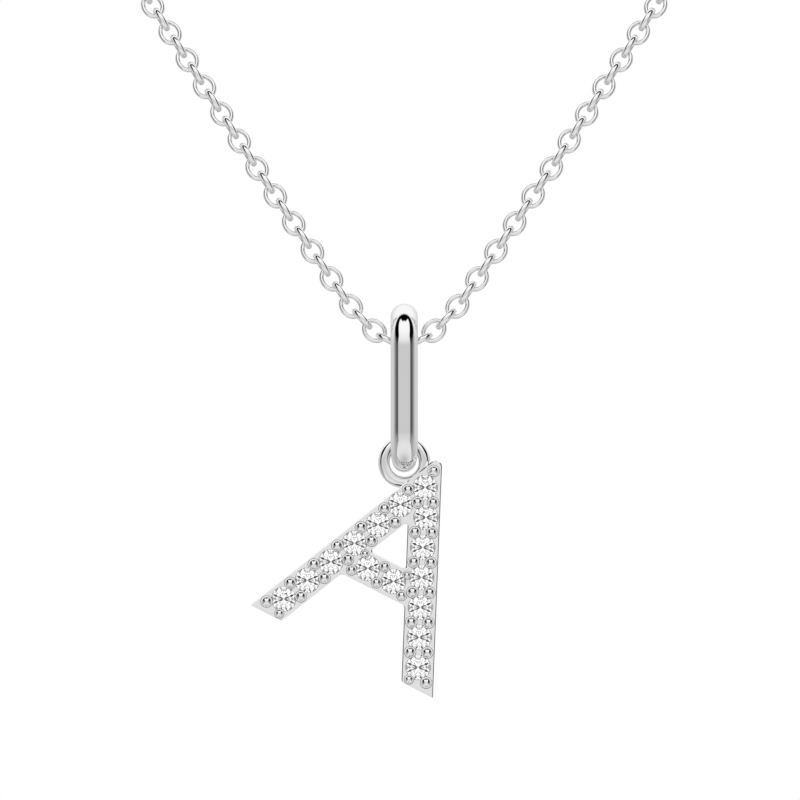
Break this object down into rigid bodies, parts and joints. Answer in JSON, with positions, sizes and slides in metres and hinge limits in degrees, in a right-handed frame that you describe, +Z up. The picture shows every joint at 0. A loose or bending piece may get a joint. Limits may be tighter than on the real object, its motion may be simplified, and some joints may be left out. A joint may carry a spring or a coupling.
{
  "type": "initial pendant necklace",
  "caption": "Leaning capital letter A set with small round stones, on an oval bail, hanging on a fine cable chain with a plain clasp.",
  "frame": {"origin": "the nape: the middle of the clasp's side that lies against the neck", "axes": "+X towards the wearer's left, +Y towards the back, +Z up; the pendant hangs in front, at -Y and -Z"},
  "size_m": [0.1152, 0.1181, 0.1423],
  "materials": {
    "silver": "polished white metal",
    "setting_silver": "polished white metal with bright-cut seats and raised grains",
    "chain_silver": "polished white metal wire",
    "stone": "clear brilliant-cut stone"
  },
  "bodies": {
    "chain": {"chain_front": "chain_silver", "chain_back": "chain_silver", "clasp": "silver"},
    "bail": {"bail": "silver"},
    "letter": {"letter_setting": "setting_silver", "stone_01": "stone", "stone_02": "stone", "stone_03": "stone", "stone_04": "stone", "stone_05": "stone", "stone_06": "stone", "stone_07": "stone", "stone_08": "stone", "stone_09": "stone", "stone_10": "stone", "stone_11": "stone", "stone_12": "stone", "stone_13": "stone", "stone_14": "stone", "stone_15": "stone"}
  },
  "joints": [
    {"name": "bail_swing", "type": "hinge", "parent": "chain", "child": "bail", "pos_m": [0, -0.11495, -0.12204], "axis": [1, 0, 0], "range_deg": [-45, 45]},
    {"name": "letter_swing", "type": "hinge", "parent": "bail", "child": "letter", "pos_m": [0, -0.11495, -0.12776], "axis": [0, 1, 0], "range_deg": [-45, 45]}
  ]
}
